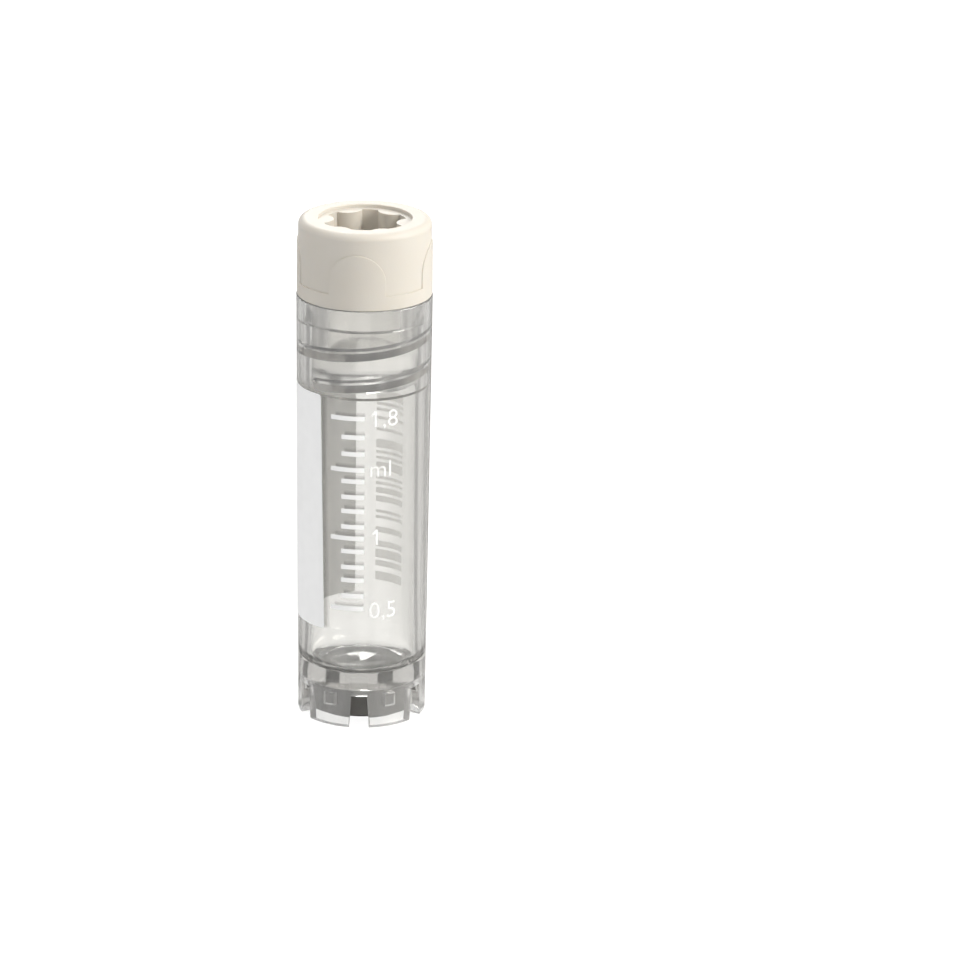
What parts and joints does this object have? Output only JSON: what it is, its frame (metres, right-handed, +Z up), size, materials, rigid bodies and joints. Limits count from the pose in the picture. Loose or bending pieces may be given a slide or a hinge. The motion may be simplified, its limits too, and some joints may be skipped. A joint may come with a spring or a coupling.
{
  "type": "cryovial",
  "caption": "Self-standing screw-cap storage vial with an inside thread, a clear graduated tube, a coded disc in its star foot and a cream cap with a driver socket.",
  "frame": {"origin": "middle of the foot, on the surface that the vial stands on", "axes": "+Z up the axis towards the cap, -Y to the front with the scale"},
  "size_m": [0.0124, 0.0124, 0.0477],
  "materials": {
    "clear_plastic": "clear moulded polypropylene",
    "dark_plastic": "dark grey moulded plastic",
    "soft_seal": "pale translucent silicone",
    "cream_plastic": "satin cream polypropylene",
    "print_white": "white printing ink",
    "print_dark": "black printing ink"
  },
  "bodies": {
    "vial": {"tube": "clear_plastic", "base_insert": "dark_plastic"},
    "lift": {"sealing_ring": "soft_seal"},
    "screw_cap": {"cap": "cream_plastic", "plug": "clear_plastic"}
  },
  "joints": [
    {"name": "cap_lift", "type": "slide", "parent": "vial", "child": "lift", "axis": [0, 0, 1], "range_m": [0, 0.009]},
    {"name": "cap_turn", "type": "hinge", "parent": "lift", "child": "screw_cap", "pos_m": [0, 0, 0.0405], "axis": [0, 0, 1], "range_deg": [0, 1081]}
  ],
  "couplings": [
    {"joint": "cap_turn", "follows": "cap_lift", "rad_per_m": 2094.4}
  ]
}
